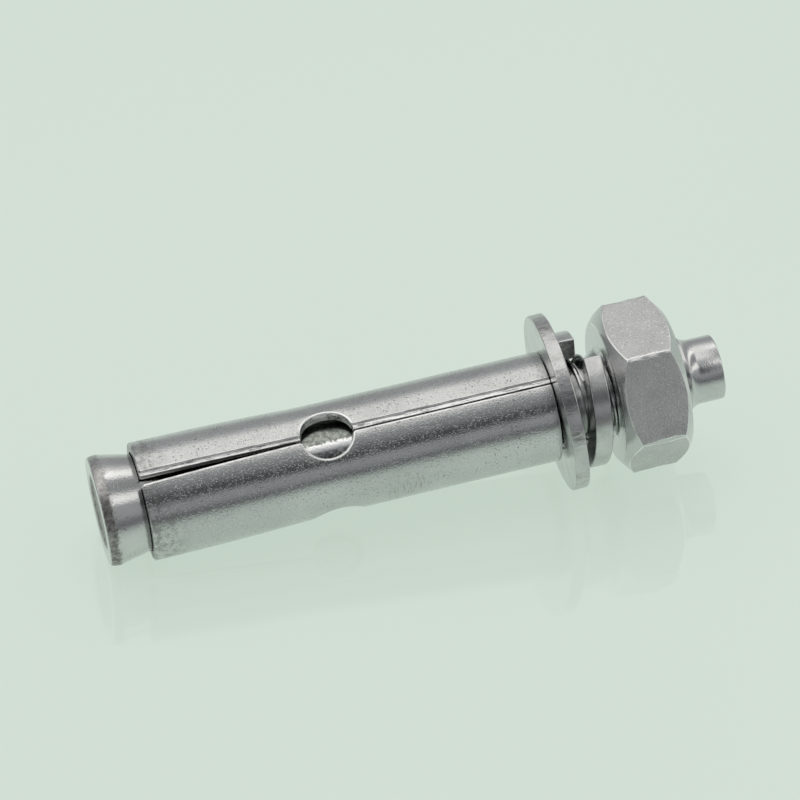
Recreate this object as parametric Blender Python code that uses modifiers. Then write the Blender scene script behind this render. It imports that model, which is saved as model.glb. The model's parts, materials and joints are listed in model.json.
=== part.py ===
"""Sleeve anchor, lying on its washer and its sleeve's mouth, in metres with +Z up.

A stud with a cone at its lower end passes through a rolled expansion sleeve, a flat washer, a split spring
washer and a hex nut. Stations along the stud are measured from the cone's end face towards the tip, and
angles round it from straight up towards -Y.
"""

import math

import bmesh
import bpy

# Thread, M10
THREAD_NOMINAL_DIAMETER = 0.010
THREAD_PITCH = 0.0015
THREAD_ALLOWANCE = 0.0002
THREAD_LENGTH = 0.0300
THREAD_PAST_NUT = 0.0007

# Stud
CONE_LAND_LENGTH = 0.00115
CONE_LAND_DROP = 0.00034
CONE_HALF_ANGLE = math.radians(12.2)
DISH_INSET = 0.0015
DISH_DEPTH = 0.00025
SHANK_UNDERSIZE = 0.00013
PILOT_STEP = 0.0007
PILOT_FILLET = 0.0018
PILOT_LENGTH = 0.0026
PILOT_EDGE = 0.0002

# Expansion sleeve, rolled from strip
SLEEVE_WALL = 0.0010
SLEEVE_LENGTH = 0.0464
SLEEVE_MOUTH_OPENING = 0.00086
SLEEVE_EDGE_ROUNDING = 0.00014
HOLE_DIAMETER = 0.0058
HOLE_FROM_MOUTH = 0.0210
HOLE_COUNT = 3
HOLE_ANGLE = math.radians(18.9)
SEAM_GAP = 0.00070
SLOT_WIDTH = 0.00035
SLOT_SPREAD = 0.00062

# Flat washer
WASHER_BRIM = 0.0030
WASHER_THICKNESS = 0.0016
WASHER_EDGE = 0.00016
WASHER_LEAN = math.radians(2.5)

# Split spring washer
SPRING_WIDTH = 0.0025
SPRING_THICKNESS = 0.00205
SPRING_RISE = 0.0022
SPRING_EDGE = 0.00022
SPRING_LEAN = math.radians(-1.5)
SPRING_NEAR_END = math.radians(10)
SPRING_SPLIT = math.radians(8)

# Hex nut
NUT_ACROSS_FLATS = 0.0170
NUT_HEIGHT = 0.0078
NUT_FACE_INSET = 0.0013
NUT_CHAMFER_ANGLE = math.radians(37)
NUT_COUNTERSINK_STEP = 0.0008
NUT_COUNTERSINK_ANGLE = math.radians(30)
NUT_CORNER_ANGLE = math.radians(27.5)

# Clearances. The bore ones are on the diameter, over the thread's nominal size
SLEEVE_BORE_CLEARANCE = 0.0004
WASHER_BORE_CLEARANCE = 0.0005
MOUTH_CLEARANCE = 0.00023
WASHER_SEAT_GAP = 0.00005
WASHER_RIDE_GAP = 0.00007
SPRING_SEAT_GAP = 0.00005
NUT_SPRING_GAP = 0.0007
THREAD_GAP = 0.0003

STEEL_PARTS = {
    "stud": ((0.60, 0.60, 0.59), 0.22),
    "expansion_sleeve": ((0.58, 0.58, 0.59), 0.30),
    "flat_washer": ((0.60, 0.60, 0.59), 0.34),
    "spring_washer": ((0.56, 0.56, 0.55), 0.30),
    "hex_nut": ((0.58, 0.57, 0.58), 0.36),
}
TURNED_SEGMENTS = 64
HOLE_SEGMENTS = 40
SHARP_ANGLE = math.radians(40)
LEG_STEPS = 8
SPRING_CHECKS = 90
CUTTER_MARGIN = 0.002
MERGE_DISTANCE = 0.00001

# Plain cylinders stand for the thread, at its pitch diameter less or plus half the gap
PITCH_DIAMETER = THREAD_NOMINAL_DIAMETER - 0.75 * THREAD_PITCH * math.sqrt(3) / 2
STUD_THREAD_RADIUS = (PITCH_DIAMETER - THREAD_GAP) / 2
NUT_BORE_RADIUS = (PITCH_DIAMETER + THREAD_GAP) / 2
THREAD_CREST_RADIUS = (THREAD_NOMINAL_DIAMETER - THREAD_ALLOWANCE) / 2
SHANK_RADIUS = (PITCH_DIAMETER - SHANK_UNDERSIZE) / 2
PILOT_RADIUS = STUD_THREAD_RADIUS - PILOT_STEP

# The sleeve slides over the thread, and the cone is as wide as the sleeve is outside
SLEEVE_BORE = THREAD_NOMINAL_DIAMETER + SLEEVE_BORE_CLEARANCE
SLEEVE_DIAMETER = SLEEVE_BORE + 2 * SLEEVE_WALL
SLEEVE_MOUTH_DIAMETER = SLEEVE_DIAMETER + SLEEVE_MOUTH_OPENING
LEG_BEND_HEIGHT = HOLE_FROM_MOUTH - 0.4 * HOLE_DIAMETER
CONE_RADIUS = SLEEVE_DIAMETER / 2
CONE_END_RADIUS = CONE_RADIUS - CONE_LAND_DROP

# The washers and the nut follow the thread, and the flat washer stands out past the nut's flats
WASHER_BORE = THREAD_NOMINAL_DIAMETER + WASHER_BORE_CLEARANCE
WASHER_DIAMETER = NUT_ACROSS_FLATS + WASHER_BRIM
SPRING_BORE = WASHER_BORE
SPRING_DIAMETER = SPRING_BORE + 2 * SPRING_WIDTH
NUT_FACE_RADIUS = (NUT_ACROSS_FLATS - NUT_FACE_INSET) / 2
NUT_COUNTERSINK_RADIUS = (THREAD_NOMINAL_DIAMETER + NUT_COUNTERSINK_STEP) / 2

# Share of a radius that the middle of a facet has, which is what touches the surface below
FACET = math.cos(math.pi / TURNED_SEGMENTS)


def cone_station(radius):
    """Where the cone has this radius, on its way down from the widest circle to the shank."""
    return CONE_LAND_LENGTH + (CONE_RADIUS - radius) / math.tan(CONE_HALF_ANGLE)


# The sleeve's mouth sits round the cone where the cone is smaller than its bore by the clearance
MOUTH_STATION = cone_station(SLEEVE_MOUTH_DIAMETER / 2 - SLEEVE_WALL - MOUTH_CLEARANCE)
SLEEVE_END_STATION = MOUTH_STATION + SLEEVE_LENGTH

# The flat washer leans against the top of the sleeve's end, and the stud lies low in its bore
WASHER_RIDE = WASHER_BORE / 2 - THREAD_CREST_RADIUS - WASHER_RIDE_GAP
WASHER_STATION = (
    SLEEVE_END_STATION
    + WASHER_SEAT_GAP
    + (SLEEVE_DIAMETER / 2 - WASHER_RIDE) * math.tan(WASHER_LEAN)
)
WASHER_TOP_STATION = WASHER_STATION + WASHER_THICKNESS / math.cos(WASHER_LEAN)


def washer_face(radius, angle):
    """The flat washer's outer face above a point at this radius and angle."""
    return WASHER_TOP_STATION - (radius * math.cos(angle) - WASHER_RIDE) * math.tan(WASHER_LEAN)


def spring_face(radius, angle):
    """The spring washer's lower face, counted from the lower face of its far end's own level."""
    turned_by = (angle - SPRING_NEAR_END) / (2 * math.pi - SPRING_SPLIT)
    return SPRING_RISE * (1 - turned_by) - radius * math.cos(angle) * math.tan(SPRING_LEAN)


def spring_points():
    """Points round the spring washer's two edges, as radius and angle."""
    for step in range(SPRING_CHECKS + 1):
        angle = SPRING_NEAR_END + (2 * math.pi - SPRING_SPLIT) * step / SPRING_CHECKS
        yield SPRING_DIAMETER / 2, angle
        yield SPRING_BORE / 2, angle


# The spring washer rests against the flat washer, and the nut stops short of the spring washer's near end
SPRING_STATION = SPRING_SEAT_GAP + max(washer_face(r, a) - spring_face(r, a) for r, a in spring_points())
SPRING_TOP_STATION = SPRING_STATION + SPRING_THICKNESS + max(spring_face(r, a) for r, a in spring_points())
NUT_STATION = SPRING_TOP_STATION + NUT_SPRING_GAP
NUT_END_STATION = NUT_STATION + NUT_HEIGHT
THREAD_END_STATION = NUT_END_STATION + THREAD_PAST_NUT
TIP_STATION = THREAD_END_STATION + PILOT_FILLET + PILOT_LENGTH


# Circles that may touch the ground at the cone's end, as station and radius
LOW_CIRCLES = (
    (CONE_LAND_LENGTH, CONE_RADIUS * FACET),
    (MOUTH_STATION, SLEEVE_MOUTH_DIAMETER / 2),
)


def resting_pitch(station, radius):
    """The angle of the axis to the ground with this circle and the flat washer's rim on it."""
    washer_side = WASHER_DIAMETER / 2 * FACET
    rise = washer_side * math.cos(WASHER_LEAN) - radius - WASHER_RIDE
    return math.atan2(rise, WASHER_STATION - station + washer_side * math.sin(WASHER_LEAN))


def clear_scene():
    for item in list(bpy.data.objects):
        bpy.data.objects.remove(item)


def new_collection(name):
    collection = bpy.data.collections.new(name)
    bpy.context.scene.collection.children.link(collection)
    return collection


def steel(name):
    colour, roughness = STEEL_PARTS[name]
    material = bpy.data.materials.new(name + "_steel")
    material.use_nodes = True
    shader = material.node_tree.nodes["Principled BSDF"]
    shader.inputs["Base Color"].default_value = (*colour, 1.0)
    shader.inputs["Metallic"].default_value = 1.0
    shader.inputs["Roughness"].default_value = roughness
    return material


def add_object(name, mesh, collection, parent=None):
    item = bpy.data.objects.new(name, mesh)
    collection.objects.link(item)
    item.parent = parent
    if name in STEEL_PARTS:
        mesh.materials.append(steel(name))
    return item


def add_seat(name, collection, parent, station):
    """An empty on the axis, for a piece and its cutters."""
    seat = bpy.data.objects.new(name, None)
    collection.objects.link(seat)
    seat.parent = parent
    seat.location.z = station
    return seat


def outline_mesh(name, outline, angle, closed):
    """A chain of edges through (radius, height) points, in the half plane at this angle round Z."""
    bm = bmesh.new()
    verts = [bm.verts.new((r * math.cos(angle), r * math.sin(angle), z)) for r, z in outline]
    for first, second in zip(verts, verts[1:]):
        bm.edges.new((first, second))
    if closed:
        bm.edges.new((verts[-1], verts[0]))
    mesh = bpy.data.meshes.new(name)
    bm.to_mesh(mesh)
    bm.free()
    return mesh


def add_screw(item, steps, angle=2 * math.pi):
    screw = item.modifiers.new("turn", "SCREW")
    screw.axis = "Z"
    screw.angle = angle
    screw.steps = steps
    screw.render_steps = steps
    screw.use_merge_vertices = True
    screw.merge_threshold = MERGE_DISTANCE
    screw.use_smooth_shade = True
    return screw


def turned(name, outline, collection, parent=None, closed=False):
    """A turned piece. A facet, not an edge, lies straight underneath."""
    mesh = outline_mesh(name, outline, math.pi / TURNED_SEGMENTS, closed)
    item = add_object(name, mesh, collection, parent)
    add_screw(item, TURNED_SEGMENTS)
    return item


def add_bevel(item, width):
    bevel = item.modifiers.new("rounded_edges", "BEVEL")
    bevel.width = width
    bevel.segments = 2
    bevel.limit_method = "ANGLE"
    bevel.angle_limit = SHARP_ANGLE


def cut(item, cutter):
    boolean = item.modifiers.new(cutter.name, "BOOLEAN")
    boolean.operation = "DIFFERENCE"
    boolean.solver = "EXACT"
    boolean.object = cutter


def as_cutter(item):
    item.hide_render = True
    item.display_type = "WIRE"
    return item


def arc(centre, out, along, start, end, steps):
    """Points on a round or oval arc in the (radius, height) plane, with these two half axes."""
    for step in range(steps + 1):
        angle = start + (end - start) * step / steps
        yield centre[0] + out * math.cos(angle), centre[1] + along * math.sin(angle)


def build_stud(collection, parent):
    """Cone, plain shank, thread, a hollow fillet and the pilot tip, turned in one piece."""
    thread_start = THREAD_END_STATION - THREAD_LENGTH
    blend_length = 2 * abs(SHANK_RADIUS - STUD_THREAD_RADIUS)
    dish_radius = CONE_END_RADIUS - DISH_INSET
    outline = [(0.0, TIP_STATION)]
    tip_edge = (PILOT_RADIUS - PILOT_EDGE, TIP_STATION - PILOT_EDGE)
    outline += arc(tip_edge, PILOT_EDGE, PILOT_EDGE, math.pi / 2, 0, 3)
    fillet = (PILOT_RADIUS + PILOT_FILLET, THREAD_END_STATION + PILOT_FILLET)
    fillet_end = math.pi + math.acos(1 - PILOT_STEP / PILOT_FILLET)
    outline += arc(fillet, PILOT_FILLET, PILOT_FILLET, math.pi, fillet_end, 6)
    outline += [
        (STUD_THREAD_RADIUS, THREAD_END_STATION),
        (STUD_THREAD_RADIUS, thread_start),
        (SHANK_RADIUS, thread_start - blend_length),
        (SHANK_RADIUS, cone_station(SHANK_RADIUS)),
    ]
    land = (CONE_END_RADIUS, CONE_LAND_LENGTH)
    outline += arc(land, CONE_LAND_DROP, CONE_LAND_LENGTH, 0, -math.pi / 2, 5)
    outline += [(dish_radius, 0.0), (dish_radius - 2 * DISH_DEPTH, DISH_DEPTH), (0.0, DISH_DEPTH)]
    return turned("stud", outline, collection, parent)


def sleeve_radius(height):
    """The sleeve's outer radius at a height over its mouth. The legs bend out from the holes down."""
    to_go = min(height / LEG_BEND_HEIGHT, 1.0)
    return SLEEVE_MOUTH_DIAMETER / 2 - SLEEVE_MOUTH_OPENING / 2 * to_go * to_go


def hole_cutter(name, collection, parent, angle):
    """A cylinder on a radius of the sleeve, long enough to pass its wall only."""
    bm = bmesh.new()
    bmesh.ops.create_cone(
        bm,
        cap_ends=True,
        segments=HOLE_SEGMENTS,
        radius1=HOLE_DIAMETER / 2,
        radius2=HOLE_DIAMETER / 2,
        depth=SLEEVE_WALL + 2 * CUTTER_MARGIN,
    )
    mesh = bpy.data.meshes.new(name)
    bm.to_mesh(mesh)
    bm.free()
    item = as_cutter(add_object(name, mesh, collection, parent))
    reach = (SLEEVE_DIAMETER - SLEEVE_WALL) / 2
    item.location = (reach * math.cos(angle), reach * math.sin(angle), HOLE_FROM_MOUTH)
    item.rotation_euler = (0, math.pi / 2, angle)
    return item


def slot_cutter(name, collection, parent, angle, width, opens_both_ways):
    """A wedge from the cross hole to the mouth. The seam's first lip stays straight, so its slot opens one way."""
    bm = bmesh.new()
    bmesh.ops.create_cube(bm, size=1.0)
    inner = SLEEVE_BORE / 2 - CUTTER_MARGIN
    outer = SLEEVE_MOUTH_DIAMETER / 2 + CUTTER_MARGIN
    for vert in bm.verts:
        at_mouth = vert.co.z < 0
        half = (width + SLOT_SPREAD if at_mouth else width) / 2
        middle = 0.0 if opens_both_ways else half - width / 2
        vert.co = (
            outer if vert.co.x > 0 else inner,
            middle + math.copysign(half, vert.co.y),
            -CUTTER_MARGIN if at_mouth else HOLE_FROM_MOUTH,
        )
    mesh = bpy.data.meshes.new(name)
    bm.to_mesh(mesh)
    bm.free()
    item = as_cutter(add_object(name, mesh, collection, parent))
    item.rotation_euler = (0, 0, angle)
    return item


def build_sleeve(collection, cutters, parent):
    """A strip rolled to a tube with an open seam, three cross holes, and a slot from each to the mouth."""
    seat = add_seat("sleeve_seat", collection, parent, MOUTH_STATION)
    heights = [SLEEVE_LENGTH, (SLEEVE_LENGTH + HOLE_FROM_MOUTH) / 2]
    heights += [LEG_BEND_HEIGHT * step / LEG_STEPS for step in range(LEG_STEPS, -1, -1)]
    outline = [(sleeve_radius(height), height) for height in heights]
    seam_turn = SEAM_GAP / (SLEEVE_DIAMETER / 2)
    mesh = outline_mesh("expansion_sleeve", outline, HOLE_ANGLE + seam_turn / 2, closed=False)
    item = add_object("expansion_sleeve", mesh, collection, seat)
    add_screw(item, TURNED_SEGMENTS, 2 * math.pi - seam_turn).use_merge_vertices = False
    wall = item.modifiers.new("wall", "SOLIDIFY")
    wall.thickness = SLEEVE_WALL
    wall.offset = -1
    wall.use_even_offset = True
    add_bevel(item, SLEEVE_EDGE_ROUNDING)
    for number in range(HOLE_COUNT):
        angle = HOLE_ANGLE + 2 * math.pi * number / HOLE_COUNT
        on_seam = number == 0
        width = SEAM_GAP if on_seam else SLOT_WIDTH
        cut(item, hole_cutter(f"hole_cutter_{number}", cutters, seat, angle))
        cut(item, slot_cutter(f"slot_cutter_{number}", cutters, seat, angle, width, not on_seam))
    return item


def ring_outline(outer, bore, height):
    return [(outer, height), (outer, 0.0), (bore, 0.0), (bore, height)]


def build_flat_washer(collection, parent):
    outline = ring_outline(WASHER_DIAMETER / 2, WASHER_BORE / 2, WASHER_THICKNESS)
    item = turned("flat_washer", outline, collection, parent, closed=True)
    item.location = (WASHER_RIDE, 0, WASHER_STATION)
    item.rotation_euler = (0, WASHER_LEAN, 0)
    add_bevel(item, WASHER_EDGE)
    return item


def build_spring_washer(collection, parent):
    """A square bar wound once to the left, with its two ends cut square and standing apart."""
    bm = bmesh.new()
    outline = ring_outline(SPRING_DIAMETER / 2, SPRING_BORE / 2, SPRING_THICKNESS)
    cos, sin = math.cos(SPRING_NEAR_END), math.sin(SPRING_NEAR_END)
    section = bm.faces.new([bm.verts.new((r * cos, r * sin, z + SPRING_RISE)) for r, z in outline])
    bmesh.ops.spin(
        bm,
        geom=[section, *section.edges, *section.verts],
        cent=(0, 0, 0),
        axis=(0, 0, 1),
        dvec=(0, 0, -SPRING_RISE / TURNED_SEGMENTS),
        angle=2 * math.pi - SPRING_SPLIT,
        steps=TURNED_SEGMENTS,
    )
    bmesh.ops.recalc_face_normals(bm, faces=bm.faces)
    mesh = bpy.data.meshes.new("spring_washer")
    bm.to_mesh(mesh)
    bm.free()
    mesh.shade_smooth()
    mesh.set_sharp_from_angle(angle=SHARP_ANGLE)
    item = add_object("spring_washer", mesh, collection, parent)
    item.location.z = SPRING_STATION
    item.rotation_euler = (0, SPRING_LEAN, 0)
    add_bevel(item, SPRING_EDGE)
    return item


def build_nut(collection, cutters, parent):
    """A hexagon turned down to a cone at each face, with a bore countersunk from both sides."""
    seat = add_seat("nut_seat", collection, parent, NUT_STATION)
    corner = NUT_ACROSS_FLATS / 2 / math.cos(math.pi / 6)
    bm = bmesh.new()
    bmesh.ops.create_cone(bm, cap_ends=True, segments=6, radius1=corner, radius2=corner, depth=NUT_HEIGHT)
    bmesh.ops.translate(bm, verts=bm.verts, vec=(0, 0, NUT_HEIGHT / 2))
    mesh = bpy.data.meshes.new("hex_nut")
    bm.to_mesh(mesh)
    bm.free()
    item = add_object("hex_nut", mesh, collection, seat)
    first_corner = math.atan2(mesh.vertices[0].co.y, mesh.vertices[0].co.x)
    item.rotation_euler.z = NUT_CORNER_ANGLE - first_corner

    reach = corner + CUTTER_MARGIN
    drop = (reach - NUT_FACE_RADIUS) * math.tan(NUT_CHAMFER_ANGLE)
    blank = [
        (0.0, NUT_HEIGHT),
        (NUT_FACE_RADIUS, NUT_HEIGHT),
        (reach, NUT_HEIGHT - drop),
        (reach, drop),
        (NUT_FACE_RADIUS, 0.0),
        (0.0, 0.0),
    ]
    turning = as_cutter(turned("nut_turning", blank, cutters, seat))
    chamfer = item.modifiers.new("turned_chamfers", "BOOLEAN")
    chamfer.operation = "INTERSECT"
    chamfer.solver = "EXACT"
    chamfer.object = turning

    sink = (NUT_COUNTERSINK_RADIUS - NUT_BORE_RADIUS) * math.tan(NUT_COUNTERSINK_ANGLE)
    mouth = NUT_COUNTERSINK_RADIUS + CUTTER_MARGIN
    rise = CUTTER_MARGIN * math.tan(NUT_COUNTERSINK_ANGLE)
    bore = [
        (0.0, NUT_HEIGHT + rise),
        (mouth, NUT_HEIGHT + rise),
        (NUT_BORE_RADIUS, NUT_HEIGHT - sink),
        (NUT_BORE_RADIUS, sink),
        (mouth, -rise),
        (0.0, -rise),
    ]
    cut(item, as_cutter(turned("nut_bore", bore, cutters, seat)))
    return item


def main():
    clear_scene()
    parts = new_collection("sleeve_anchor")
    cutters = new_collection("cutters")
    axis = bpy.data.objects.new("anchor_axis", None)
    parts.objects.link(axis)

    # The axis runs up from the cone to the nut, and the empty's own X points up and its Y towards the viewer
    pitch = min(resting_pitch(station, radius) for station, radius in LOW_CIRCLES)
    axis.rotation_euler = (0, pitch - math.pi / 2, math.pi)
    build_stud(parts, axis)
    build_sleeve(parts, cutters, axis)
    build_flat_washer(parts, axis)
    build_spring_washer(parts, axis)
    build_nut(parts, cutters, axis)

    # The lower circle touches the ground, and the box round the anchor is centred on the origin
    low_x = -CONE_END_RADIUS * math.sin(pitch)
    high_x = TIP_STATION * math.cos(pitch) + (PILOT_RADIUS - PILOT_EDGE) * math.sin(pitch)
    axis.location = (
        -(low_x + high_x) / 2,
        0,
        max(radius * math.cos(pitch) - station * math.sin(pitch) for station, radius in LOW_CIRCLES),
    )
    print(f"pitch {math.degrees(pitch):.3f} degrees, stud length {TIP_STATION * 1000:.2f} mm")


main()
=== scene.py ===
import json
import math

import bmesh
import bpy
from mathutils import Matrix, Vector


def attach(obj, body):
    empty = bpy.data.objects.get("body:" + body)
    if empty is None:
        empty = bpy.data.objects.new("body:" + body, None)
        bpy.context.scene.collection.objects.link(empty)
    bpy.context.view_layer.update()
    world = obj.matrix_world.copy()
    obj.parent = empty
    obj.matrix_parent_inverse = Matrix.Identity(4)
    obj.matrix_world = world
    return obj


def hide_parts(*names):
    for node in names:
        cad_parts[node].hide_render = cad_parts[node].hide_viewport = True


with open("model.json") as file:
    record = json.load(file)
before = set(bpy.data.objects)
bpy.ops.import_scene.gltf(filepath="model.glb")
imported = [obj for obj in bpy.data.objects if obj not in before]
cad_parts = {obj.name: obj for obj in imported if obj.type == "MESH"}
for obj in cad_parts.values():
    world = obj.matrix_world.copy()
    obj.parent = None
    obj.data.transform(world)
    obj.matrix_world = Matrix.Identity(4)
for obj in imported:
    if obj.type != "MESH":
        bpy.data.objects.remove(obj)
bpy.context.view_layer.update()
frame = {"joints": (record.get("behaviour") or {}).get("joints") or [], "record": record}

# Sizes here are in millimetres and degrees. Stations run along the anchor from the cone's end face to the
# tip, and angles go round it from straight up towards the side that the camera stands on
mm = 0.001
joints = {joint["name"]: joint for joint in frame["joints"]}
mounts = {mount["name"]: mount for mount in frame["record"]["mounts"]}
anchorAxis = Vector(joints["stud_draw"]["axis"]).normalized()
nearSide = Vector((0, -1, 0))


# Local X goes up, Y towards the camera's side and Z along the axis
def placeOn(origin, axis):
    up = nearSide.cross(axis).normalized()
    turn = Matrix((up, axis.cross(up), axis)).transposed().to_4x4()
    return Matrix.Translation(origin) @ turn


tipPoint = Vector(mounts["stud_tip"]["pos_m"])
conePoint = Vector(mounts["cone_end"]["pos_m"])
anchorLength = (tipPoint - conePoint).dot(anchorAxis) / mm
anchorPlace = placeOn(tipPoint - anchorAxis * anchorLength * mm, anchorAxis)
nutStation = (anchorPlace.inverted() @ Vector(joints["nut_turn"]["pos_m"])).z / mm
washerPlace = placeOn(
    Vector(joints["flat_washer_spin"]["pos_m"]), Vector(joints["flat_washer_spin"]["axis"]).normalized()
)


# Shader nodes


class Wire:
    # One socket of a finish, which Python arithmetic can use
    def __init__(self, finish, socket):
        self.finish = finish
        self.socket = socket

    def maths(self, operation, other=None, swapped=False):
        pair = (other, self) if swapped else (self, other)
        inputs = {number: value for number, value in enumerate(pair) if value is not None}
        return self.finish.node("ShaderNodeMath", {"operation": operation}, inputs)

    def __add__(self, other):
        return self.maths("ADD", other)

    def __radd__(self, other):
        return self.maths("ADD", other, True)

    def __sub__(self, other):
        return self.maths("SUBTRACT", other)

    def __rsub__(self, other):
        return self.maths("SUBTRACT", other, True)

    def __mul__(self, other):
        return self.maths("MULTIPLY", other)

    def __rmul__(self, other):
        return self.maths("MULTIPLY", other, True)

    def __truediv__(self, other):
        return self.maths("DIVIDE", other)

    def __pow__(self, other):
        return self.maths("POWER", other)

    def __abs__(self):
        return self.maths("ABSOLUTE")


class Finish:
    # The nodes of one material or of the world
    def __init__(self, owner):
        owner.use_nodes = True
        self.owner = owner
        self.tree = owner.node_tree

    def feed(self, socket, value):
        if isinstance(value, Wire):
            self.tree.links.new(value.socket, socket)
        else:
            socket.default_value = value

    def node(self, kind, settings=None, inputs=None, output=0):
        made = self.tree.nodes.new(kind)
        for name, value in (settings or {}).items():
            if name == "stops":
                stops = made.color_ramp.elements
                stops.remove(stops[1])
                stops[0].position, stops[0].color = value[0]
                for place, colour in value[1:]:
                    stops.new(place).color = colour
            else:
                setattr(made, name, value)
        for name, value in (inputs or {}).items():
            self.feed(made.inputs[name], value)
        return Wire(self, made.outputs[output])

    def place(self, matrix):
        # Object coordinates in millimetres, in a piece's own axes
        inverse = matrix.inverted()
        inputs = {
            "Vector": self.node("ShaderNodeTexCoord", output="Object"),
            "Location": inverse.to_translation() / mm,
            "Rotation": inverse.to_euler(),
            "Scale": (1 / mm,) * 3,
        }
        return self.node("ShaderNodeMapping", {"vector_type": "POINT"}, inputs)

    def unroll(self, matrix, radius):
        # Millimetres round the piece, along it and out from its axis
        x, y, z = self.split(self.place(matrix))
        angle = self.node("ShaderNodeMath", {"operation": "ARCTAN2"}, {0: y, 1: x})
        return angle * radius, z, (x * x + y * y) ** 0.5

    def skin(self, matrix, radius):
        # The same three as one vector
        return self.join(*self.unroll(matrix, radius))

    def join(self, x, y, z):
        return self.node("ShaderNodeCombineXYZ", inputs={0: x, 1: y, 2: z})

    def stretch(self, vector, amounts, turn=0.0):
        inputs = {"Vector": vector, "Rotation": (0, 0, math.radians(turn)), "Scale": amounts}
        return self.node("ShaderNodeMapping", {"vector_type": "TEXTURE"}, inputs)

    def split(self, vector):
        made = self.node("ShaderNodeSeparateXYZ", inputs={0: vector})
        return [Wire(self, socket) for socket in made.socket.node.outputs]

    def noise(self, vector, size, detail=2.0, roughness=0.5):
        # Size is about the width of one spot, in millimetres
        inputs = {"Vector": vector, "Scale": 0.6 / size, "Detail": detail, "Roughness": roughness}
        return self.node("ShaderNodeTexNoise", {"noise_dimensions": "3D"}, inputs, "Fac")

    def between(self, value, low, high, start=0.0, end=1.0):
        # A smooth step from start to end while value goes from low to high
        inputs = {"Value": value, "From Min": low, "From Max": high, "To Min": start, "To Max": end}
        return self.node("ShaderNodeMapRange", {"interpolation_type": "SMOOTHSTEP"}, inputs, "Result")

    def spots(self, vector, size, amount, soft=0.05, detail=2.0):
        # Islands of noise: amount is the level that they rise above
        return self.between(self.noise(vector, size, detail), amount - soft, amount + soft)

    def band(self, value, ends, soft):
        # One between the two ends, and nothing outside them
        low, high = ends
        rise = self.between(value, low - soft, low + soft)
        return rise * self.between(value, high - soft, high + soft, 1.0, 0.0)

    def mix(self, share, first, second):
        inputs = {0: share, 6: first, 7: second}
        return self.node("ShaderNodeMix", {"data_type": "RGBA"}, inputs, 2)

    def blend(self, value, low, high, first, second):
        # From the first colour to the second while value goes from low to high
        return self.mix(self.between(value, low, high), first, second)

    def metal(self, colour, roughness, height, depth):
        # Depth in millimetres of a height from 0 to 1
        bump = {"Height": height, "Strength": 1.0, "Distance": depth * mm}
        normal = self.node("ShaderNodeBump", inputs=bump)
        return self.finish({"Base Color": colour, "Roughness": roughness, "Normal": normal})

    def finish(self, inputs):
        for name, value in inputs.items():
            self.feed(self.shader.inputs[name], value)
        return self


def newFinish(name, metallic=1.0):
    made = Finish(bpy.data.materials.new(name))
    made.shader = made.tree.nodes["Principled BSDF"]
    made.shader.inputs["Metallic"].default_value = metallic
    return made


def grey(level, tint=(1.0, 1.0, 1.0)):
    return (*(level * share for share in tint), 1.0)


# Shared mesh steps


def spinOutline(outline, steps, closed=False):
    bm = bmesh.new()
    verts = [bm.verts.new((radius, 0, station)) for radius, station in outline]
    edges = [bm.edges.new(pair) for pair in zip(verts, verts[1:])]
    if closed:
        edges.append(bm.edges.new((verts[-1], verts[0])))
    bmesh.ops.spin(
        bm, geom=verts + edges, cent=(0, 0, 0), axis=(0, 0, 1), angle=math.tau, steps=steps, use_merge=True
    )
    bmesh.ops.remove_doubles(bm, verts=bm.verts, dist=0.0005)
    bmesh.ops.recalc_face_normals(bm, faces=bm.faces)
    return bm


def sharpEdges(bm, angle=40):
    return [edge for edge in bm.edges if edge.calc_face_angle(0) > math.radians(angle)]


def roundEdges(bm, edges, width, segments=3, finishNumber=-1):
    bmesh.ops.bevel(
        bm,
        geom=edges,
        offset=width,
        offset_type="OFFSET",
        affect="EDGES",
        segments=segments,
        profile=0.5,
        material=finishNumber,
        clamp_overlap=True,
    )


def arcPoints(centre, out, along, start, end, steps):
    for step in range(steps + 1):
        angle = math.radians(start + (end - start) * step / steps)
        yield centre[0] + out * math.cos(angle), centre[1] + along * math.sin(angle)


# A thread's outline is spun once while it climbs one pitch, so that each turn meets the next. It has a turn
# to spare at either end, and is then cut off level
def spinThread(size):
    crest, root = size["crestRadius"], size["rootRadius"]
    pitch = size["pitch"]
    flank = abs(crest - root) * math.tan(math.radians(30))
    flat = size["crestFlat"] / 2
    rootFlat = (pitch / 2 - flat - flank) * 0.55
    turns = int((size["end"] - size["start"]) / pitch) + 3
    shape = [(-flat, crest), (flat, crest), (flat + flank, root), (flat + flank + rootFlat, root)]
    bm = bmesh.new()
    verts = []
    for turn in range(turns):
        level = size["start"] + (turn - 1) * pitch + size["phase"] * pitch
        verts += [bm.verts.new((radius, 0, level + along)) for along, radius in shape]
    edges = [bm.edges.new(pair) for pair in zip(verts, verts[1:])]
    steps = size["steps"]
    bmesh.ops.spin(
        bm,
        geom=verts + edges,
        cent=(0, 0, 0),
        axis=(0, 0, 1),
        dvec=(0, 0, pitch / steps),
        angle=math.tau,
        steps=steps,
    )
    bmesh.ops.remove_doubles(bm, verts=bm.verts, dist=0.001)
    for station, side in ((size["start"], -1), (size["end"], 1)):
        bmesh.ops.bisect_plane(
            bm,
            geom=bm.verts[:] + bm.edges[:] + bm.faces[:],
            plane_co=(0, 0, station),
            plane_no=(0, 0, side),
            clear_outer=True,
        )
    bmesh.ops.recalc_face_normals(bm, faces=bm.faces)
    outward = sum(face.normal.xy.dot(face.calc_center_median().xy) for face in bm.faces)
    if (outward > 0) == size["inside"]:
        bmesh.ops.reverse_faces(bm, faces=bm.faces)
    return bm


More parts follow.
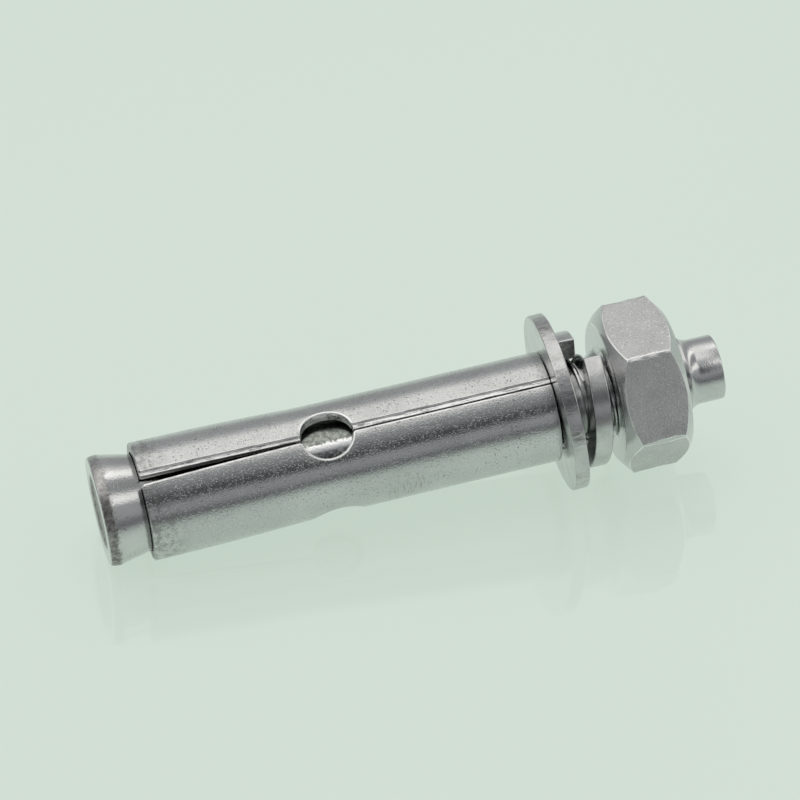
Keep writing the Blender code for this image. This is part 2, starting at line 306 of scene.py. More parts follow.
# A ring of edges is drawn out once more. Each new vertex follows the same point as the old one
def drawRing(bm, ring, order, finishNumber):
    made = bmesh.ops.extrude_edge_only(bm, edges=ring)["geom"]
    following = {}
    for item in made:
        if isinstance(item, bmesh.types.BMFace):
            item.material_index = finishNumber
        elif isinstance(item, bmesh.types.BMVert):
            for edge in item.link_edges:
                other = edge.other_vert(item)
                if other in order:
                    following[item] = order[other]
    return [item for item in made if isinstance(item, bmesh.types.BMEdge)], following


def joinInto(bm, other, finishNumber=0):
    for face in other.faces:
        face.material_index = finishNumber
    mesh = bpy.data.meshes.new("joining")
    other.to_mesh(mesh)
    other.free()
    bm.from_mesh(mesh)
    bpy.data.meshes.remove(mesh)


def finishPiece(name, bm, place, body, node, finishes, sharp=35):
    bmesh.ops.transform(bm, matrix=place @ Matrix.Scale(mm, 4), verts=bm.verts)
    mesh = bpy.data.meshes.new(name)
    bm.to_mesh(mesh)
    bm.free()
    mesh.shade_smooth()
    mesh.set_sharp_from_angle(angle=math.radians(sharp))
    for finish in finishes:
        mesh.materials.append(finish.owner)
    piece = bpy.data.objects.new(name, mesh)
    bpy.context.scene.collection.objects.link(piece)
    weighted = piece.modifiers.new("even shading", "WEIGHTED_NORMAL")
    weighted.keep_sharp = True
    weighted.weight = 90
    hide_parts(node)
    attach(piece, body)
    print(f"{name}: {len(mesh.polygons)} faces")


# Stud

stud = {
    "coneRadius": 6.2,
    "landLength": 1.15,
    "landDrop": 0.34,
    "coneAngle": 12.2,
    "dishInset": 1.5,
    "dishDepth": 0.25,
    "dishSlope": 0.5,
    "endSupport": 0.5,
    "neckRise": 0.02,
    "neckStart": 0.1,
    "neckEnd": 0.25,
    "shankRadius": 4.448,
    "threadStart": 36.5,
    "threadEnd": nutStation + 8.5,
    "coreRadius": 4.0,
    "shoulderRadius": 4.363,
    "pilotRadius": 3.663,
    "filletRadius": 1.8,
    "edge": 0.2,
    "steps": 128,
    "seenShank": (22.6, 29.2),
}
studThread = {
    "crestRadius": 4.9,
    "rootRadius": 4.09,
    "crestFlat": 0.2,
    "pitch": 1.5,
    "start": stud["threadStart"],
    "end": stud["threadEnd"],
    "phase": 0.0,
    "startRunOut": 0.6,
    "endRunOut": 0.8,
    "steps": 96,
    "inside": False,
}


def buildStud():
    s = stud
    slope = math.tan(math.radians(s["coneAngle"]))
    coneEnd = s["coneRadius"] - s["landDrop"]
    dish = coneEnd - s["dishInset"]
    shankStart = s["landLength"] + (s["coneRadius"] - s["shankRadius"]) / slope
    outline = [(0.0, s["dishDepth"]), (dish - s["dishSlope"], s["dishDepth"]), (dish, 0.0)]
    outline += [(coneEnd - s["endSupport"], 0.0)]
    outline += arcPoints((coneEnd, s["landLength"]), s["landDrop"], s["landLength"], -90, 0, 10)
    outline += [
        (s["shankRadius"] + s["neckRise"], shankStart - s["neckStart"]),
        (s["shankRadius"], shankStart + s["neckEnd"]),
        (s["shankRadius"], s["threadStart"]),
        (s["coreRadius"], s["threadStart"]),
        (s["coreRadius"], s["threadEnd"]),
        (s["shoulderRadius"], s["threadEnd"]),
    ]
    reach = math.degrees(math.acos(1 - (s["shoulderRadius"] - s["pilotRadius"]) / s["filletRadius"]))
    fillet = (s["pilotRadius"] + s["filletRadius"], s["threadEnd"] + s["filletRadius"])
    outline += list(arcPoints(fillet, s["filletRadius"], s["filletRadius"], 180 + reach, 180, 10))
    edge = (s["pilotRadius"] - s["edge"], anchorLength - s["edge"])
    outline += arcPoints(edge, s["edge"], s["edge"], 0, 90, 4)
    outline += [(0.0, anchorLength)]
    bm = spinOutline(outline, s["steps"])

    # The thread's crests die down to the shank and to the shoulder
    thread = spinThread(studThread)
    for vert in thread.verts:
        radius = vert.co.xy.length
        fromEnd = studThread["end"] - vert.co.z
        fromStart = vert.co.z - studThread["start"]
        atEnd = s["shoulderRadius"] + fromEnd * studThread["endRunOut"]
        limit = min(atEnd, s["shankRadius"] + fromStart * studThread["startRunOut"])
        if radius > limit:
            vert.co.xy *= limit / radius
    joinInto(bm, thread)
    return bm


# Expansion sleeve

sleeve = {
    "radius": 6.2,
    "wall": 1.0,
    "mouth": 4.85,
    "length": 46.4,
    "flare": 0.43,
    "bendHeight": 18.7,
    "holeAngle": 18.9,
    "holeRadius": 2.9,
    "holeHeight": 21.0,
    "seamGap": 0.70,
    "seamMouthGap": 1.32,
    "slotWidth": 0.35,
    "cornerRadius": 0.3,
    "endCorner": 0.1,
    "rimWidth": 0.22,
    "rimDepth": 0.16,
    "rimSteps": 4,
    "endRim": 0.6,
    "holeShear": 0.12,
    "farShear": 1.25,
    "strips": 144,
    "cutSpacing": 2.0,
    "mouthCuts": (0.6, 1.2),
    "scuffedAlong": (31.5, 36.0),
    "scuffedAround": (8.4, 13.2),
}

# The finishes of the sleeve's faces, in the order in which finishPiece gets them
outerFinish, cutFinish, rimFinish = 0, 1, 2

# Below its rounded rim the upper lip of the seam has a bright torn ledge. Other cuts have only a small
# share of it. Each step is its depth in a clean cut, its depth in a torn one, and how far it stands out
shearSteps = (
    (0.19, 0.21, 0.0), (0.22, 0.24, 0.03), (0.25, 0.245, 0.14), (0.28, 0.225, 0.18), (0.31, 0.225, 0.27),
    (0.34, 0.205, 0.30), (0.37, 0.205, 0.37), (0.40, 0.23, 0.41), (0.43, 0.30, 0.42),
    (sleeve["wall"], sleeve["wall"], 0.38),
)


def sleeveOutline():
    # The strip before rolling: x runs round the sleeve and y up from the mouth
    s = sleeve
    turn = math.tau * s["radius"]
    half = s["seamGap"] / 2
    width = turn - s["seamGap"]
    radius, height = s["holeRadius"], s["holeHeight"]
    spread = s["seamMouthGap"] - s["seamGap"]

    def rim(middle, start, end, steps):
        for step in range(steps + 1):
            angle = math.radians(start + (end - start) * step / steps)
            yield middle + radius * math.sin(angle), height - radius * math.cos(angle)

    # The lower lip of the seam gives way towards the mouth, and the upper lip stays straight
    reach = math.degrees(math.asin(half / radius))
    points = [(spread, 0.0), *rim(-half, reach, 180 - reach, 22), (0.0, s["length"]), (width, s["length"])]
    points += [*rim(width + half, 180 + reach, 360 - reach, 22), (width, 0.0)]
    for number in (2, 1):
        middle = turn * number / 3 - half
        top = s["slotWidth"] / 2
        low = top + spread / 2
        reach = math.degrees(math.asin(top / radius))
        points += [(middle + low, 0.0), *rim(middle, reach, 360 - reach, 44), (middle - low, 0.0)]
    return points


def sleeveRadius(height):
    s = sleeve
    share = min(height / s["bendHeight"], 1.0)
    return s["radius"] + s["flare"] * (1 - share * share)


# Corners between the cuts and the holes are eased, and so are those at the mouth and at the end
def easeCorners(bm, face):
    s = sleeve
    corners = [loop.vert for loop in face.loops if abs(loop.calc_angle() - math.pi) > math.radians(30)]
    atEnd = [vert for vert in corners if vert.co.y > s["length"] - 0.1]
    others = [vert for vert in corners if vert not in atEnd]
    for group, size in ((atEnd, s["endCorner"]), (others, s["cornerRadius"])):
        bmesh.ops.bevel(
            bm,
            geom=group,
            offset=size,
            offset_type="OFFSET",
            affect="VERTICES",
            segments=5,
            profile=0.5,
            material=-1,
        )


# Where each vertex of the strip's outline is, which way is out, and how much of the torn ledge it has
def outlineRows(face):
    s = sleeve
    width = math.tau * s["radius"] - s["seamGap"]
    places = [loop.vert.co.copy() for loop in face.loops]
    outward = []
    for number, here in enumerate(places):
        before = (here - places[number - 1]).normalized()
        after = (places[(number + 1) % len(places)] - here).normalized()
        sides = [Vector((step.y, -step.x, 0)) for step in (before, after)]
        outward.append((sides[0] + sides[1]) / (1 + sides[0].dot(sides[1])))

    # The mouth and the end are cut clean, and the seam's upper lip is torn, but not beside the hole
    sheared = []
    for here in places:
        atEnds = here.y < 0.02 or here.y > s["length"] - 0.02
        onSeam = here.x > width - 1.0 and abs(here.y - s["holeHeight"]) > s["holeRadius"] + 0.1
        seamShear = s["farShear"] if here.y > s["holeHeight"] else 1.0
        sheared.append(0.0 if atEnds else seamShear if onSeam else s["holeShear"])
    return places, outward, sheared


# The wall goes down from the outer face in rings: a rounded rim, then the steps of the sheared cut
def cutWall(bm, face):
    s = sleeve
    places, outward, sheared = outlineRows(face)
    rings = []
    for step in range(s["rimSteps"] + 1):
        angle = math.pi / 2 * step / s["rimSteps"]
        depth = s["rimDepth"] * (1 - math.cos(angle))
        rings.append((depth, depth, s["rimWidth"] * (math.sin(angle) - 1)))
    rings += shearSteps
    lip = [loop.edge for loop in face.loops]
    order = {loop.vert: number for number, loop in enumerate(face.loops)}
    for number, (clean, torn, reach) in enumerate(rings):
        onRim = number <= s["rimSteps"]
        if number > 0:
            lip, order = drawRing(bm, lip, order, rimFinish if onRim else cutFinish)
        for vert, place in order.items():
            atEnds = sheared[place] == 0.0
            amount = reach * (s["endRim"] if atEnds else 1.0) if onRim else reach * sheared[place]
            spot = places[place] + outward[place] * amount
            depth = clean + (torn - clean) * min(sheared[place], 1.0)
            vert.co = (spot.x, min(max(spot.y, 0.0), s["length"]), -depth)
    bmesh.ops.edgeloop_fill(bm, edges=lip)

    # The rims at the mouth and at the washers get no painted highlight
    for face in bm.faces:
        height = face.calc_center_median().y
        if face.material_index == rimFinish and not s["rimWidth"] < height < s["length"] - s["rimWidth"]:
            face.material_index = outerFinish
    bmesh.ops.recalc_face_normals(bm, faces=bm.faces)


def buildSleeve():
    s = sleeve
    bm = bmesh.new()
    face = bm.faces.new([bm.verts.new((x, y, 0)) for x, y in sleeveOutline()])
    face.normal_update()
    if face.normal.z < 0:
        face.normal_flip()
    easeCorners(bm, face)
    cutWall(bm, bm.faces[:][0])

    # Cuts across the strip, where it will be rolled and bent
    turn = math.tau * s["radius"]
    spacing = s["cutSpacing"]
    heights = [*s["mouthCuts"], *(spacing * n for n in range(1, math.ceil(s["length"] / spacing)))]
    cuts = [((turn * n / s["strips"], 0, 0), (1, 0, 0)) for n in range(1, s["strips"])]
    cuts += [((0, height, 0), (0, 1, 0)) for height in heights]
    for point, normal in cuts:
        bmesh.ops.bisect_plane(
            bm, geom=bm.verts[:] + bm.edges[:] + bm.faces[:], plane_co=point, plane_no=normal, dist=0.0001
        )

    start = math.radians(s["holeAngle"]) + s["seamGap"] / 2 / s["radius"]
    for vert in bm.verts:
        angle = start + vert.co.x / s["radius"]
        reach = sleeveRadius(vert.co.y) + vert.co.z
        vert.co = (reach * math.cos(angle), reach * math.sin(angle), s["mouth"] + vert.co.y)
    bmesh.ops.recalc_face_normals(bm, faces=bm.faces)
    return bm


# Flat washer

flatWasher = {"radius": 10.0, "bore": 5.25, "thickness": 1.6, "edge": 0.16, "steps": 160}


def buildFlatWasher():
    s = flatWasher
    radius, bore, top = s["radius"], s["bore"], s["thickness"]
    bm = spinOutline([(radius, top), (radius, 0.0), (bore, 0.0), (bore, top)], s["steps"], closed=True)
    roundEdges(bm, sharpEdges(bm), s["edge"], segments=4)
    return bm


# Spring washer

springWasher = {
    "radius": 7.75,
    "bore": 5.25,
    "thickness": 2.05,
    "rise": 2.2,
    "fall": 2.1,
    "lean": -1.5,
    "nearEnd": 10,
    "split": 24,
    "station": nutStation - 5.15,
    "edge": 0.22,
    "steps": 144,
}


def buildSpringWasher():
    s = springWasher
    bm = bmesh.new()
    corners = [(s["bore"], 0), (s["radius"], 0), (s["radius"], s["thickness"]), (s["bore"], s["thickness"])]
    section = bm.faces.new([bm.verts.new((r, 0, z + s["rise"])) for r, z in corners])
    nearEnd = Matrix.Rotation(math.radians(s["nearEnd"]), 3, "Z")
    bmesh.ops.rotate(bm, verts=bm.verts, cent=(0, 0, 0), matrix=nearEnd)
    bmesh.ops.spin(
        bm,
        geom=[section, *section.edges, *section.verts],
        cent=(0, 0, 0),
        axis=(0, 0, 1),
        dvec=(0, 0, -s["fall"] / s["steps"]),
        angle=math.radians(360 - s["split"]),
        steps=s["steps"],
    )
    bmesh.ops.recalc_face_normals(bm, faces=bm.faces)
    roundEdges(bm, sharpEdges(bm), s["edge"], segments=4)

    # The two cut ends have a finish of their own
    for face in bm.faces:
        wayRound = Vector((0, 0, 1)).cross(face.calc_center_median()).normalized()
        if abs(face.normal.dot(wayRound)) > 0.9:
            face.material_index = 1
    lean = Matrix.Rotation(math.radians(s["lean"]), 3, "Y")
    bmesh.ops.rotate(bm, verts=bm.verts, cent=(0, 0, 0), matrix=lean)
    bmesh.ops.translate(bm, verts=bm.verts, vec=(0, 0, s["station"]))
    return bm


# Hex nut

hexNut = {
    "acrossFlats": 17.0,
    "height": 7.8,
    "faceRadius": 7.85,
    "chamferAngle": 37,
    "cornerAngle": 27.5,
    "facetWidth": 0.62,
    "facetEnds": 0.35,
    "facetWave": 0.35,
    "sinkRadius": 5.4,
    "sinkDepth": 0.62,
    "edge": 0.08,
    "sideSteps": 20,
    "heightSteps": 16,
}
nutThread = {
    "crestRadius": 4.3,
    "rootRadius": 5.03,
    "crestFlat": 0.34,
    "pitch": 1.5,
    "start": 0.0,
    "end": hexNut["height"],
    "phase": 0.5,
    "steps": 96,
    "inside": True,
}

# The finishes of the nut's faces, in the order in which finishPiece gets them
flatFinish, smoothFinish, edgeFinish = 0, 1, 2


def hexOutline(share):
    # Points round the hexagon, with worn facets along its corners that are widest half way up
    s = hexNut
    flat = s["acrossFlats"] / 2
    points = []
    for number in range(6):
        turn = Matrix.Rotation(math.radians(s["cornerAngle"] + 60 * number), 2)
        swell = s["facetEnds"] + (1 - s["facetEnds"]) * math.sin(math.pi * share) ** 0.7

        # Two waves of different lengths make each facet's width uneven
        ripple = math.sin(11 * share + 2 * number) * math.sin(5 * share + number)
        wave = 1 + s["facetWave"] * ripple
        width = s["facetWidth"] * swell * wave
        cut = flat / math.cos(math.radians(30)) - width / 2 * math.tan(math.radians(30))
        facet = [Vector((cut, width / 2)), Vector((cut, -width / 2))]
        last = Matrix.Rotation(math.radians(-60), 2) @ facet[0]
        for step in range(s["sideSteps"]):
            points.append(turn @ last.lerp(facet[1], step / s["sideSteps"]))
        points.append(turn @ facet[1])
    return points


def buildHexNut():
    s = hexNut
    slope = math.tan(math.radians(s["chamferAngle"]))

    # Rings of points and levels: face, chamfer, flats, chamfer, face
    ways = [point.normalized() for point in hexOutline(0.0)]
    rings = [[(way * radius, 0.0) for way in ways] for radius in (s["sinkRadius"], s["faceRadius"])]
    for step in range(s["heightSteps"] + 1):
        ring = []
        for point in hexOutline(step / s["heightSteps"]):
            drop = (point.length - s["faceRadius"]) * slope
            ring.append((point, drop + (s["height"] - 2 * drop) * step / s["heightSteps"]))
        rings.append(ring)
    rings += [[(point, s["height"] - level) for point, level in ring] for ring in (rings[1], rings[0])]

    bm = bmesh.new()
    made = bmesh.ops.create_circle(bm, cap_ends=False, segments=len(rings[0]), radius=s["sinkRadius"])
    order = {vert: number for number, vert in enumerate(made["verts"])}
    lip = bm.edges[:]
    for number, ring in enumerate(rings):
        if number > 0:
            onFlats = 3 <= number < 3 + s["heightSteps"]
            lip, order = drawRing(bm, lip, order, flatFinish if onFlats else smoothFinish)
        for vert, place in order.items():
            vert.co = (*ring[place][0], ring[place][1])
    bmesh.ops.recalc_face_normals(bm, faces=bm.faces)

    # The worn facets are bright like the chamfers, and every edge is broken and painted bright as a
    # highlight line
    for face in bm.faces:
        middle = face.calc_center_median()
        fromCorner = (math.degrees(math.atan2(middle.y, middle.x)) - s["cornerAngle"] + 30) % 60 - 30
        atCorner = abs(fromCorner) < 4 and face.normal.xy.length > 0.99
        if atCorner and abs(face.normal.xy.angle(middle.xy)) < math.radians(15):
            face.material_index = smoothFinish
    # The edges take the rim finish, whose bright colour paints highlight lines
    roundEdges(bm, sharpEdges(bm, 15), s["edge"], finishNumber=edgeFinish)

    # Countersinks down to the thread
    for level, inward in ((0.0, 1), (s["height"], -1)):
        bottom = (nutThread["crestRadius"], level + s["sinkDepth"] * inward)
        joinInto(bm, spinOutline([(s["sinkRadius"], level), bottom], nutThread["steps"]), smoothFinish)
    joinInto(bm, spinThread(nutThread), smoothFinish)
    return bm


# Finishes

steel = {
    "bright": 0.66,
    "pit": 0.13,
    "cool": (0.99, 1.0, 0.997),
    "warm": (1.02, 0.99, 0.95),
    "brown": (1.04, 0.99, 0.96),
    "paintedReflection": (0.93, 1.0, 0.92),
}


def studSteel():
    # Polished cone with a worn brownish land, rolled thread and turned pilot. Where the cross hole shows
    # the shank, its colour paints a dull greenish reflection, a highlight line and shade below the line
    f = newFinish("turned stainless stud")
    around, along, out = f.unroll(anchorPlace, 5.0)
    skin = f.join(around, along, out)
    body = f.place(anchorPlace)
    patches = f.noise(body, 2.4, 3)
    mottle = f.noise(body, 0.26, 4, 0.65)
    grain = f.noise(body, 0.15, 2, 0.65)
    ragged = along + (f.noise(body, 0.4, 3, 0.6) - 0.5) * 1.6
    land = f.between(ragged, 0.95, 1.45, 1.0, 0.0) * f.between(along, 0.04, 0.16)
    land = land * (1 - f.between(around, 0.5, 5.0, 0.4, 0.0) * f.between(out, 4.3, 4.8))
    pilot = f.between(along, stud["threadEnd"] - 0.2, stud["threadEnd"])
    lines = f.noise(f.stretch(skin, (30, 1, 1)), 0.16, 2)
    pits = f.spots(body, 0.15, 0.68, 0.03) * f.spots(body, 1.8, 0.52, 0.1)
    # Painted light on the shank inside the cross hole: a painted dull greenish reflection, a painted
    # highlight line and painted shade below it
    shown = f.band(along, stud["seenShank"], 0.3)
    paintedReflection = shown * f.between(around + (mottle - 0.5) * 0.8, 1.80, 2.20, 1.0, 0.0)
    paintedHighlight = shown * f.band(around + (mottle - 0.5) * 1.3, (1.95, 2.95), 0.18)
    paintedShade = shown * f.between(around, 2.7, 3.2) * f.between(mottle, 0.62, 0.42)
    plain = f.blend(patches, 0.3, 0.7, grey(0.57, steel["cool"]), grey(0.66))
    worn = f.blend(mottle, 0.36, 0.66, grey(0.18, steel["brown"]), grey(0.46, (1.02, 0.99, 0.97)))
    colour = f.mix(land, plain, worn)
    darkerTone = f.blend(mottle, 0.38, 0.62, grey(0.22, steel["paintedReflection"]), grey(0.42, steel["paintedReflection"]))
    colour = f.mix(paintedReflection, colour, darkerTone)
    colour = f.mix(paintedHighlight, colour, grey(0.97))
    colour = f.mix(paintedShade * 0.85, colour, grey(0.15))
    colour = f.mix(pits * 0.7, colour, grey(steel["pit"]))
    roughness = 0.11 + grain * 0.07 + land * 0.25 + paintedReflection * 0.1 + pilot * 0.02
    height = grain * (1.5 + land * 1.5) + mottle * land * 1.5 + lines * 0.3
    return f.metal(colour, roughness, height, 0.010)


def sleeveSteel():
    # Rolled strip: bright, with a fine pebbled grain, dents, short scratches and dark specks
    f = newFinish("rolled stainless strip")
    around, along, out = f.unroll(anchorPlace, sleeve["radius"])
    skin = f.join(around, along, out)
    patches = f.noise(skin, 3.5, 3)
    zones = f.between(f.noise(skin, 2.2, 3), 0.38, 0.62)
    grain = f.noise(skin, 0.10, 1, 0.6)
    dents = f.spots(skin, 0.13, 0.66, 0.03, 0.0)
    pits = f.spots(skin, 0.13, 0.675, 0.02) * (0.3 + zones * 0.7)
    drawn = f.noise(f.stretch(skin, (1, 12, 1)), 0.11, 2)
    crossed = f.spots(f.stretch(skin, (1, 30, 1), 16), 0.10, 0.69, 0.02, 0.0)
    slanted = f.spots(f.stretch(skin, (1, 30, 1), -9), 0.10, 0.69, 0.02, 0.0)
    scratches = (crossed + slanted) * f.spots(skin, 0.7, 0.56, 0.04)
    mouth = f.between(along + (patches - 0.5) * 5.0, sleeve["mouth"] + 0.8, sleeve["mouth"] + 4.2, 1.0, 0.0)
    smudge = mouth * f.between(f.noise(skin, 0.5, 4, 0.65), 0.44, 0.60)
    group = f.band(along, sleeve["scuffedAlong"], 0.9) * f.band(around, sleeve["scuffedAround"], 0.8)
    rare = f.spots(skin, 1.6, 0.66, 0.03)
    rubs = f.between(f.noise(f.stretch(skin, (7, 1, 1)), 0.13, 3, 0.6), 0.52, 0.66)
    scuffs = rubs * (group * 0.8 + rare * 0.6)
    flecks = f.spots(skin, 0.12, 0.64, 0.02)
    colour = f.blend(patches, 0.3, 0.7, grey(0.58, steel["cool"]), grey(0.64, steel["cool"]))
    colour = f.mix(flecks * 0.4, colour, grey(0.92, steel["cool"]))
    colour = f.mix(pits * 0.85, colour, grey(steel["pit"]))
    colour = f.mix(smudge * 0.6, colour, grey(0.26, steel["warm"]))
    colour = f.mix(scuffs * 0.5, colour, grey(0.24, steel["warm"]))
    roughness = 0.10 + grain * 0.08 + smudge * 0.15 + scuffs * 0.12
    height = grain * (1.3 + zones * 0.4) + dents * 1.1 - pits * 0.5 + drawn * 0.1
    height = height - scratches * 0.4 - scuffs * 0.3
    return f.metal(colour, roughness, height, 0.010)


def shearedSteel():
    # The cut faces of the strip: torn metal with fine lines along the cut, painted near white in streaks as
    # light that the faces don't get
    f = newFinish("sheared stainless edge")
    around, along, out = f.unroll(anchorPlace, sleeve["radius"])
    skin = f.join(around, along, out)
    streaks = f.noise(f.stretch(skin, (1, 16, 1)), 0.09, 3, 0.6)
    mottle = f.noise(skin, 0.3, 3, 0.6)
    # Near-white streaks are painted light and painted highlights on the cut faces
    colour = f.blend(streaks + (mottle - 0.5) * 0.3, 0.36, 0.50, grey(0.30), grey(0.97))
    # Cut faces at the mouth end are darker
    darkerTone = f.between(along, sleeve["mouth"] + 0.02, sleeve["mouth"] + 0.12, 1.0, 0.0)
    colour = f.mix(darkerTone * 0.75, colour, grey(0.16))
    return f.metal(colour, 0.22 + mottle * 0.2, streaks, 0.02)


def paintedHighlightSteel(name):
    # The rounded rim of every cut and the edges of the nut are painted bright, a painted highlight line
    # along each
    f = newFinish(name)
    skin = f.skin(anchorPlace, sleeve["radius"])
    mottle = f.noise(skin, 0.25, 3, 0.6)
    # The colour, up to near white, is a painted highlight
    colour = f.blend(f.noise(skin, 1.1, 2), 0.36, 0.56, grey(steel["bright"]), grey(0.93))
    return f.metal(colour, 0.18 + mottle * 0.22, mottle, 0.012)


def washerSteel():
    # Punched washer: the rim is smooth by turns and torn in short axial lines by turns
    f = newFinish("punched stainless washer")
    around, along, out = f.unroll(washerPlace, flatWasher["radius"])
    skin = f.join(around, along, out)
    rim = f.between(out, flatWasher["radius"] - 0.14, flatWasher["radius"] - 0.06)
    torn = rim * f.spots(f.stretch(skin, (1, 4, 1)), 1.3, 0.5, 0.12)
    lines = f.noise(f.stretch(skin, (1, 7, 1)), 0.12, 3, 0.6)
    body = f.place(washerPlace)
    grain = f.noise(body, 0.12, 2, 0.6)
    patches = f.noise(body, 1.6, 3)
    pits = f.spots(body, 0.15, 0.67, 0.03)
    colour = f.blend(patches, 0.3, 0.7, grey(0.55), grey(0.66, steel["cool"]))
    colour = f.mix(torn * f.between(lines, 0.55, 0.36), colour, grey(0.30, steel["warm"]))
    colour = f.mix(pits * 0.6, colour, grey(steel["pit"]))
    dents = f.noise(f.stretch(skin, (1, 2.2, 1)), 0.42, 2, 0.5) * rim
    height = grain * 0.8 + lines * torn * 3.0 + lines * rim * 0.3 + dents * 5.0
    return f.metal(colour, 0.17 + grain * 0.08 + torn * 0.12, height, 0.011)


def springSteel():
    # Coiled square bar, satin, with faint lines along the bar
    f = newFinish("coiled stainless bar")
    skin = f.skin(anchorPlace, springWasher["radius"])
    lines = f.noise(f.stretch(skin, (16, 1, 1)), 0.13, 3)
    grain = f.noise(skin, 0.14, 3, 0.6)
    patches = f.noise(skin, 1.2, 3)
    colour = f.blend(patches, 0.32, 0.68, grey(0.53), grey(0.66))
    height = grain * 1.8 + lines * 0.5
    return f.metal(colour, 0.17 + grain * 0.10, height, 0.009)


def springEndSteel():
    # The cut ends of the bar are darker and rougher
    f = newFinish("cut stainless bar end")
    mottle = f.noise(f.skin(anchorPlace, springWasher["radius"]), 0.25, 3, 0.6)
    colour = f.blend(mottle, 0.35, 0.65, grey(0.20), grey(0.40))
    return f.metal(colour, 0.30 + mottle * 0.1, mottle, 0.015)


def nutSteel():
    # The flats have an even satin grain that sparkles
    f = newFinish("satin stainless flats")
    skin = f.skin(nutPlace, hexNut["acrossFlats"] / 2)
    grain = f.noise(skin, 0.10, 2, 0.7)
    patches = f.noise(skin, 1.7, 4, 0.6)
    specks = f.spots(skin, 0.14, 0.68, 0.03)
    glints = f.spots(skin, 0.12, 0.63, 0.03)
    colour = f.blend(patches, 0.3, 0.7, grey(0.59), grey(0.67))
    colour = f.mix(glints * 0.7, colour, grey(0.95))
    colour = f.mix(specks * 0.5, colour, grey(0.24, steel["warm"]))
    roughness = 0.38 + patches * 0.06 - glints * 0.12
    return f.metal(colour, roughness, grain, 0.075)


def chamferSteel():
    # Chamfers, faces and thread are smooth and bright
    f = newFinish("bright stainless chamfer")
    skin = f.skin(nutPlace, hexNut["acrossFlats"] / 2)
    grain = f.noise(skin, 0.12, 2, 0.6)
    turned = f.noise(f.stretch(skin, (20, 1, 1)), 0.2, 2)
    pits = f.spots(skin, 0.14, 0.67, 0.03)
    colour = f.mix(pits * 0.5, grey(0.62, steel["cool"]), grey(0.25))
    return f.metal(colour, 0.14 + grain * 0.06, grain * 0.6 + turned * 0.4, 0.006)


# The five pieces

nutPlace = anchorPlace @ Matrix.Translation((0, 0, nutStation * mm))
finishPiece("studPiece", buildStud(), anchorPlace, "stud", "stud", [studSteel()])
finishPiece(
    "sleevePiece", buildSleeve(), anchorPlace, "sleeve", "expansion_sleeve",
    [sleeveSteel(), shearedSteel(), paintedHighlightSteel("sleeve rim with painted highlight")],
)
finishPiece(
    "flatWasherPiece", buildFlatWasher(), washerPlace, "flat_washer", "flat_washer",
    [washerSteel()],
)
finishPiece(
    "springWasherPiece", buildSpringWasher(), anchorPlace, "sleeve", "spring_washer",
    [springSteel(), springEndSteel()],
)
finishPiece(
    "hexNutPiece", buildHexNut(), nutPlace, "nut", "hex_nut",
    [nutSteel(), chamferSteel(), paintedHighlightSteel("nut edge with painted highlight")],
)


# Floor, light and camera

studio = {
    "floorGlow": (0.539, 0.632, 0.553, 1),
    "floorColour": (0.108, 0.110, 0.118, 1),
    "shadowColour": (0.656, 0.760, 0.681, 1),
    "floorRoughness": 0.02,
    "floorIor": 1.47,
    "floorSize": 1500,
    "tipSide": (0.22, 0.36),
    "lampPower": 3.0,
    "lampSize": (900, 600),
    "lampPlace": (50, 450, 950),
    "lampTarget": (0, 0, 0),
    "lens": 197.49,
    "sensor": 36,
    "nearest": 10,
    "farthest": 10000,
    "camera": (-90.34, -333.41, 349.43),
    "cameraTarget": (2.871, 14.755, 0.0),
}

# Brightness of the studio round the anchor: degrees from straight up towards the camera's side, then level
overSleeve = (
    (-180, 0.34), (-68, 0.40), (-57, 0.56), (-48, 0.98), (5, 1.08), (12, 0.55), (20, 0.35),
    (36, 0.22), (45, 0.08), (56, 0.085), (61, 0.36), (77, 0.34), (84, 0.16), (180, 0.16),
)
towardTip = (
    (-180, 0.38), (-62, 0.42), (-46, 0.80), (-40, 1.5), (-28, 1.5), (-22, 0.50), (-14, 0.32), (8, 0.32),
    (15, 0.80), (20, 1.25), (32, 1.25), (38, 0.42), (66, 0.38), (78, 0.20), (180, 0.20),
)


def levels(steps):
    # Dim levels are a little blue, and bright ones a little warm
    stops = []
    for degrees, level in steps:
        share = min(level, 1.0)
        stops.append((0.5 + degrees / 360, grey(level, (0.95 + 0.06 * share, 1.0, 1.04 - 0.07 * share))))
    return {"stops": stops}


# A lamp or the camera is put in its place, where it looks at its target
def setUp(name, data, place, target):
    thing = bpy.data.objects.new(name, data)
    thing.location = Vector(place) * mm
    thing.rotation_euler = (thing.location - Vector(target) * mm).to_track_quat("Z", "Y").to_euler()
    bpy.context.scene.collection.objects.link(thing)
    return thing


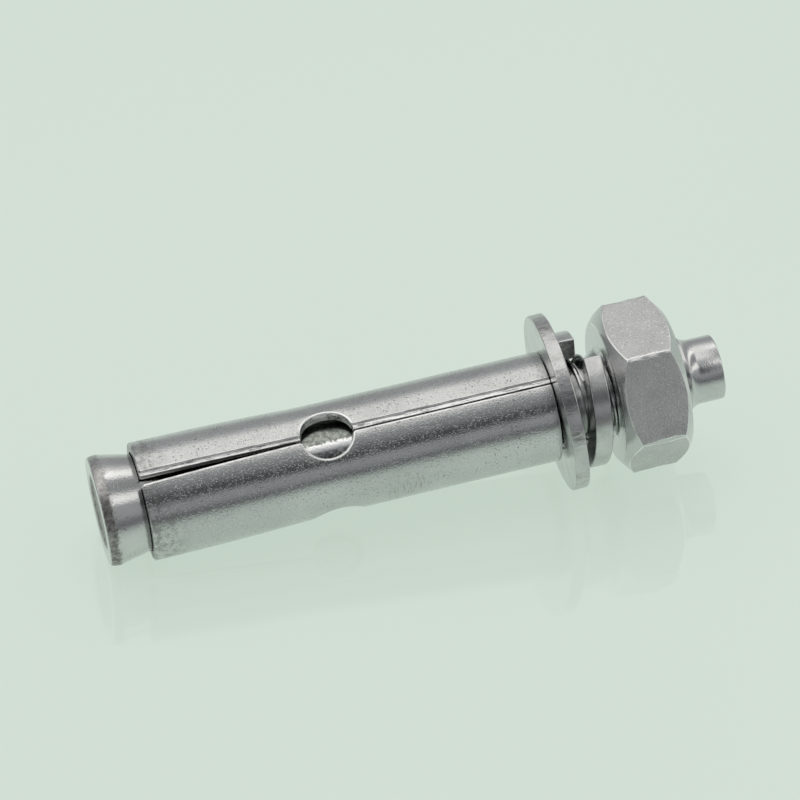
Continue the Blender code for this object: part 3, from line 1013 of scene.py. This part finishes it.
# The floor shows its own pale colour to the camera and to the metal, and keeps a soft shadow and a faint
# mirror image
floorFinish = newFinish("pale glossy floor", 0.0)
isCamera = floorFinish.node("ShaderNodeLightPath", output="Is Camera Ray")
isGlossy = floorFinish.node("ShaderNodeLightPath", output="Is Glossy Ray")
seen = floorFinish.node("ShaderNodeMath", {"operation": "MAXIMUM"}, {0: isCamera, 1: isGlossy})
floorFinish.finish({
    "Base Color": floorFinish.mix(seen, studio["shadowColour"], studio["floorColour"]),
    "Emission Color": floorFinish.mix(seen, grey(0.0), studio["floorGlow"]),
    "Emission Strength": 1.0,
    "Specular IOR Level": 0.0,
    "Roughness": 1.0,
})
gloss = {"Color": grey(1.0), "Roughness": studio["floorRoughness"]}
mirror = floorFinish.node("ShaderNodeBsdfGlossy", inputs=gloss)
fresnel = floorFinish.node("ShaderNodeFresnel", inputs={"IOR": studio["floorIor"]})
pale = Wire(floorFinish, floorFinish.shader.outputs["BSDF"])
surface = floorFinish.node("ShaderNodeMixShader", inputs={0: fresnel, 1: pale, 2: mirror})
floorFinish.feed(floorFinish.tree.nodes["Material Output"].inputs["Surface"], surface)
bm = bmesh.new()
bmesh.ops.create_grid(bm, x_segments=1, y_segments=1, size=studio["floorSize"] * mm)
mesh = bpy.data.meshes.new("floor")
bm.to_mesh(mesh)
bm.free()
mesh.materials.append(floorFinish.owner)
floor = bpy.data.objects.new("floor", mesh)
bpy.context.scene.collection.objects.link(floor)

world = bpy.data.worlds.new("studio")
bpy.context.scene.world = world
sky = Finish(world)
towardX, towardY, towardZ = sky.split(sky.node("ShaderNodeTexCoord", output="Generated"))
share = sky.node("ShaderNodeMath", {"operation": "ARCTAN2"}, {0: towardY * -1, 1: towardZ}) / math.tau + 0.5
near = sky.node("ShaderNodeValToRGB", levels(overSleeve), {0: share})
far = sky.node("ShaderNodeValToRGB", levels(towardTip), {0: share})
skyColour = sky.blend(towardX, *studio["tipSide"], near, far)
sky.feed(sky.tree.nodes["Background"].inputs["Color"], skyColour)
print("studio: floor and sky made")

lamp = bpy.data.lights.new("overhead box", "AREA")
lamp.shape = "RECTANGLE"
lamp.size = studio["lampSize"][0] * mm
lamp.size_y = studio["lampSize"][1] * mm
lamp.energy = studio["lampPower"]
setUp("overhead box", lamp, studio["lampPlace"], studio["lampTarget"]).visible_glossy = False

camera = bpy.data.cameras.new("camera")
camera.lens = studio["lens"]
camera.sensor_width = studio["sensor"]
camera.clip_start = studio["nearest"] * mm
camera.clip_end = studio["farthest"] * mm
bpy.context.scene.camera = setUp("camera", camera, studio["camera"], studio["cameraTarget"])
bpy.context.scene.view_settings.view_transform = "Standard"
print("studio: lamp and camera set up")
